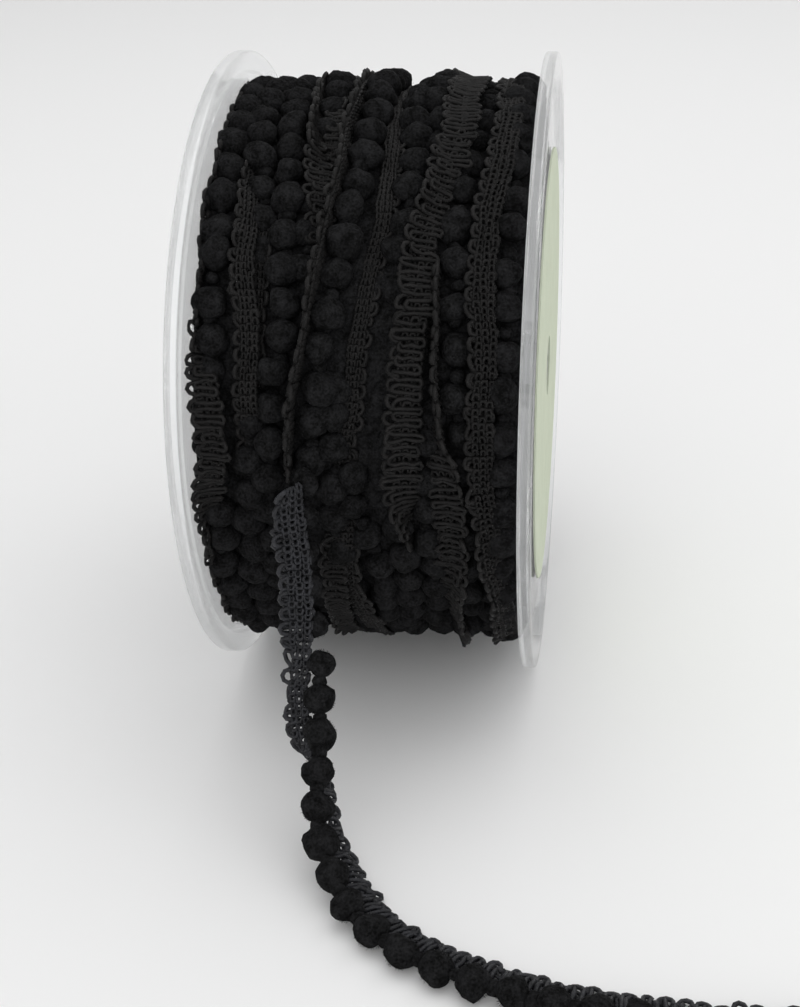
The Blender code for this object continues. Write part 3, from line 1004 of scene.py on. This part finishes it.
def build_flange(name, side, material):
    edge = EDGE_ROUNDING
    disc = FLANGE_INNER + DISC_THICKNESS
    section = [(FLANGE_INNER, BORE_RADIUS)]
    section += round_corner((FLANGE_INNER + edge, FLANGE_RADIUS - edge), edge, 180, 90)
    section += round_corner((FLANGE_OUTER - edge, FLANGE_RADIUS - edge), edge, 90, 0)
    section += round_corner((FLANGE_OUTER - edge, FLANGE_RADIUS - RIM_WIDTH + edge), edge, 0, -60)
    section += [(disc, FLANGE_RADIUS - RIM_WIDTH - RIM_SLOPE), (disc, BORE_RADIUS)]
    placed = [(side * place, radius) for place, radius in section]
    piece = turned(name, placed, FLANGE_SEGMENTS, material, floor=0.0)
    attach(piece, "root")
    return piece


def build_spool(clear, paper):
    left = build_flange("left_flange_clear", -1, clear)
    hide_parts("spool_flange_left")
    right = build_flange("right_flange_clear", 1, clear)
    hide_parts("spool_flange_right")
    half = CORE_HIGH.x
    section = [(-half, BORE_RADIUS), (-half, CORE_RADIUS), (half, CORE_RADIUS), (half, BORE_RADIUS)]
    core = turned("core_tube", section, CORE_SEGMENTS, clear)
    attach(core, "root")
    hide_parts("spool_core")
    near, far = LABEL_LOW.x, LABEL_HIGH.x
    section = [(near, BORE_RADIUS), (near, LABEL_RADIUS), (far, LABEL_RADIUS), (far, BORE_RADIUS)]
    label = turned("plain_label", section, LABEL_SEGMENTS, paper)
    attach(label, "root")
    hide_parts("label")


def build_underlay(material):
    """The earlier turns, which show only as dark lumps between the outer ones."""
    half = FLANGE_INNER - UNDERLAY_SIDE_GAP
    inner = CORE_RADIUS + FIT_GAP
    side_radii = [inner + (UNDERLAY_RADIUS - inner) * step / UNDERLAY_SIDE_STEPS
                  for step in range(UNDERLAY_SIDE_STEPS)]
    section = [(-half, radius) for radius in side_radii]
    section += [(-half + 2 * half * step / UNDERLAY_ACROSS_STEPS, UNDERLAY_RADIUS)
                for step in range(UNDERLAY_ACROSS_STEPS + 1)]
    section += [(half, radius) for radius in reversed(side_radii)]
    piece = turned("under_turns", section, UNDERLAY_SEGMENTS, material)
    count = len(piece.data.vertices)
    flat = np.zeros(count * 3)
    piece.data.vertices.foreach_get("co", flat)
    points = flat.reshape(-1, 3)
    axle = np.array([0.0, AXLE_HEIGHT])
    away = points[:, 1:] - axle
    radius = np.linalg.norm(away, axis=1)
    angle = np.arctan2(away[:, 1], -away[:, 0])
    row = np.floor(radius / SIDE_ROW_PITCH)
    ridge = np.sin(2 * math.pi * radius / SIDE_ROW_PITCH + angle)
    lump = np.sin(radius * angle / SIDE_LUMP_PITCH + SIDE_LUMP_TURN * row)
    push = SIDE_ROW_DEPTH * ridge + SIDE_LUMP_DEPTH * ridge * lump
    on_side = np.abs(points[:, 0]) > half - ON_FACE
    on_rim = radius > UNDERLAY_RADIUS - ON_FACE
    sunk = on_side & ~on_rim & (radius > inner + SIDE_CORE_MARGIN)
    points[:, 0] -= np.sign(points[:, 0]) * np.where(sunk, SIDE_SINK - push, 0.0)
    sway = RIM_SWAY * np.sin(RIM_SWAYS * angle)
    across = np.sin(points[:, 0] / RIM_LUMP_WIDTH + sway)
    bumps = RIM_LUMP_DEPTH * across * np.sin(RIM_LUMPS * angle)
    grow = np.where(on_rim & ~on_side, 1 + bumps / UNDERLAY_RADIUS, 1.0)
    points[:, 1:] = axle + away * grow[:, None]
    piece.data.vertices.foreach_set("co", points.ravel())
    piece.data.update()
    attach(piece, "root")
    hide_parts("winding")


# Materials

def fibre_group():
    """Fine fibre mottling: a shade that lightens and darkens, and a height for bumps."""
    group = bpy.data.node_groups.new("fibre_grain", "ShaderNodeTree")
    for name in ("Fine Scale", "Coarse Scale", "Contrast"):
        group.interface.new_socket(name=name, in_out="INPUT", socket_type="NodeSocketFloat")
    group.interface.new_socket(name="Shade", in_out="OUTPUT", socket_type="NodeSocketFloat")
    group.interface.new_socket(name="Height", in_out="OUTPUT", socket_type="NodeSocketFloat")
    nodes = group.nodes
    links = group.links
    entry = nodes.new("NodeGroupInput")
    leave = nodes.new("NodeGroupOutput")
    place = nodes.new("ShaderNodeTexCoord")
    fine = nodes.new("ShaderNodeTexNoise")
    coarse = nodes.new("ShaderNodeTexNoise")
    fine.inputs["Detail"].default_value = 2.0
    coarse.inputs["Detail"].default_value = 3.0
    links.new(place.outputs["Object"], fine.inputs["Vector"])
    links.new(place.outputs["Object"], coarse.inputs["Vector"])
    links.new(entry.outputs["Fine Scale"], fine.inputs["Scale"])
    links.new(entry.outputs["Coarse Scale"], coarse.inputs["Scale"])
    both = nodes.new("ShaderNodeMath")
    both.operation = "ADD"
    links.new(fine.outputs["Fac"], both.inputs[0])
    links.new(coarse.outputs["Fac"], both.inputs[1])
    centred = nodes.new("ShaderNodeMath")
    centred.operation = "SUBTRACT"
    centred.inputs[1].default_value = 1.0
    links.new(both.outputs[0], centred.inputs[0])
    scaled = nodes.new("ShaderNodeMath")
    scaled.operation = "MULTIPLY_ADD"
    scaled.inputs[2].default_value = 1.0
    links.new(centred.outputs[0], scaled.inputs[0])
    links.new(entry.outputs["Contrast"], scaled.inputs[1])
    links.new(scaled.outputs[0], leave.inputs["Shade"])
    links.new(both.outputs[0], leave.inputs["Height"])
    return group


def fibre_material(name, group):
    dark, light, (roughness, gloss, fine, coarse, contrast, bump) = FINISHES[name]
    material = bpy.data.materials.new(name)
    material.use_nodes = True
    nodes = material.node_tree.nodes
    links = material.node_tree.links
    shader = nodes["Principled BSDF"]
    shader.inputs["Roughness"].default_value = roughness
    shader.inputs["Specular IOR Level"].default_value = gloss
    grain = nodes.new("ShaderNodeGroup")
    grain.node_tree = group
    grain.inputs["Fine Scale"].default_value = fine
    grain.inputs["Coarse Scale"].default_value = coarse
    grain.inputs["Contrast"].default_value = contrast
    shades = nodes.new("ShaderNodeValToRGB")
    shades.color_ramp.elements[0].position = DARKEST_SHADE
    shades.color_ramp.elements[0].color = dark
    shades.color_ramp.elements[1].position = 1.0
    shades.color_ramp.elements[1].color = light
    share = nodes.new("ShaderNodeMath")
    share.operation = "MULTIPLY"
    share.inputs[1].default_value = SHADE_SHARE
    links.new(grain.outputs["Shade"], share.inputs[0])
    links.new(share.outputs[0], shades.inputs["Fac"])
    links.new(shades.outputs["Color"], shader.inputs["Base Color"])
    relief = nodes.new("ShaderNodeBump")
    relief.inputs["Strength"].default_value = bump
    relief.inputs["Distance"].default_value = BUMP_DEPTH
    links.new(grain.outputs["Height"], relief.inputs["Height"])
    links.new(relief.outputs["Normal"], shader.inputs["Normal"])
    return material


def clear_material():
    material = bpy.data.materials.new("clear_moulded_plastic")
    material.use_nodes = True
    nodes = material.node_tree.nodes
    links = material.node_tree.links
    shader = nodes["Principled BSDF"]
    shader.inputs["Base Color"].default_value = (0.96, 0.98, 0.99, 1.0)
    shader.inputs["Transmission Weight"].default_value = 0.88
    shader.inputs["Alpha"].default_value = 0.5
    shader.inputs["IOR"].default_value = 1.49
    place = nodes.new("ShaderNodeTexCoord")
    scuff = nodes.new("ShaderNodeTexNoise")
    scuff.inputs["Scale"].default_value = 60.0
    scuff.inputs["Detail"].default_value = 4.0
    links.new(place.outputs["Object"], scuff.inputs["Vector"])
    haze = nodes.new("ShaderNodeMapRange")
    haze.inputs["To Min"].default_value = 0.03
    haze.inputs["To Max"].default_value = 0.12
    links.new(scuff.outputs["Fac"], haze.inputs["Value"])
    links.new(haze.outputs["Result"], shader.inputs["Roughness"])
    return material


def plain_material(name, colour, roughness):
    material = bpy.data.materials.new(name)
    material.use_nodes = True
    shader = material.node_tree.nodes["Principled BSDF"]
    shader.inputs["Base Color"].default_value = colour
    shader.inputs["Roughness"].default_value = roughness
    return material


# Camera, light and floor

def build_camera():
    turn = math.radians(CAMERA_AZIMUTH)
    rise = math.radians(CAMERA_ELEVATION)
    out = math.cos(rise)
    back = Vector((math.sin(turn) * out, -math.cos(turn) * out, math.sin(rise)))
    right = Vector((math.cos(turn), math.sin(turn), 0.0))
    up = back.cross(right)
    level = Matrix((right, up, back))
    tilt = Matrix.Rotation(math.radians(CAMERA_TILT), 3, "X")
    roll = Matrix.Rotation(math.radians(CAMERA_ROLL), 3, "Z")
    facing = (roll @ tilt @ level).transposed()
    data = bpy.data.cameras.new("photo_camera")
    data.lens = CAMERA_LENS
    data.sensor_width = 36.0
    data.clip_start = 0.01
    data.clip_end = 20.0
    camera = bpy.data.objects.new("photo_camera", data)
    bpy.context.scene.collection.objects.link(camera)
    aim = Vector((0.0, 0.0, CAMERA_AIM_HEIGHT))
    camera.matrix_world = Matrix.Translation(aim + back * CAMERA_DISTANCE) @ facing.to_4x4()
    bpy.context.scene.camera = camera


def add_area_light(name, place, size, power):
    data = bpy.data.lights.new(name, "AREA")
    data.shape = "DISK"
    data.size = size
    data.energy = power
    lamp = bpy.data.objects.new(name, data)
    lamp.location = place
    way = Vector(LIGHT_AIM) - Vector(place)
    lamp.rotation_euler = way.to_track_quat("-Z", "Y").to_euler()
    bpy.context.scene.collection.objects.link(lamp)


def build_light():
    world = bpy.data.worlds.new("studio")
    world.use_nodes = True
    background = world.node_tree.nodes["Background"]
    background.inputs["Color"].default_value = (1.0, 1.0, 1.0, 1.0)
    background.inputs["Strength"].default_value = WORLD_STRENGTH
    bpy.context.scene.world = world
    bpy.context.scene.view_settings.view_transform = "Standard"
    for name, (place, size, power) in LIGHTS.items():
        add_area_light(name, place, size, power)


def build_floor():
    """A level floor that curves up into a wall behind."""
    material = plain_material("pale_floor", FLOOR_COLOUR, FLOOR_ROUGHNESS)
    profile = [(FLOOR_FRONT, 0.0), (FLOOR_BACK, 0.0)]
    for step in range(1, FLOOR_CURVE_STEPS + 1):
        angle = math.pi / 2 * step / FLOOR_CURVE_STEPS
        depth = FLOOR_BACK + FLOOR_CURVE * math.sin(angle)
        profile.append((depth, FLOOR_CURVE * (1 - math.cos(angle))))
    profile.append((FLOOR_BACK + FLOOR_CURVE, WALL_TOP))
    points = []
    for depth, height in profile:
        points.append((-FLOOR_HALF_WIDTH, depth, height))
        points.append((FLOOR_HALF_WIDTH, depth, height))
    faces = [(2 * row, 2 * row + 1, 2 * row + 3, 2 * row + 2) for row in range(len(profile) - 1)]
    floor = mesh_object("pale_floor", points, faces, material)


build_camera()
build_light()
build_floor()
GRAIN = fibre_group()
PLUSH = fibre_material("black_plush_pile", GRAIN)
YARN = fibre_material("black_filament_yarn", GRAIN)
# The wound headings' yarn is the same yarn darkened as painted shade
WOUND_YARN_PAINTED_SHADE = fibre_material("black_wound_yarn_painted_shade", GRAIN)
PAPER = fibre_material("pale_green_paper", GRAIN)
CLEAR = clear_material()
build_loose_end(YARN, PLUSH)
build_turns(WOUND_YARN_PAINTED_SHADE, PLUSH)
build_underlay(PLUSH)
build_spool(CLEAR, PAPER)
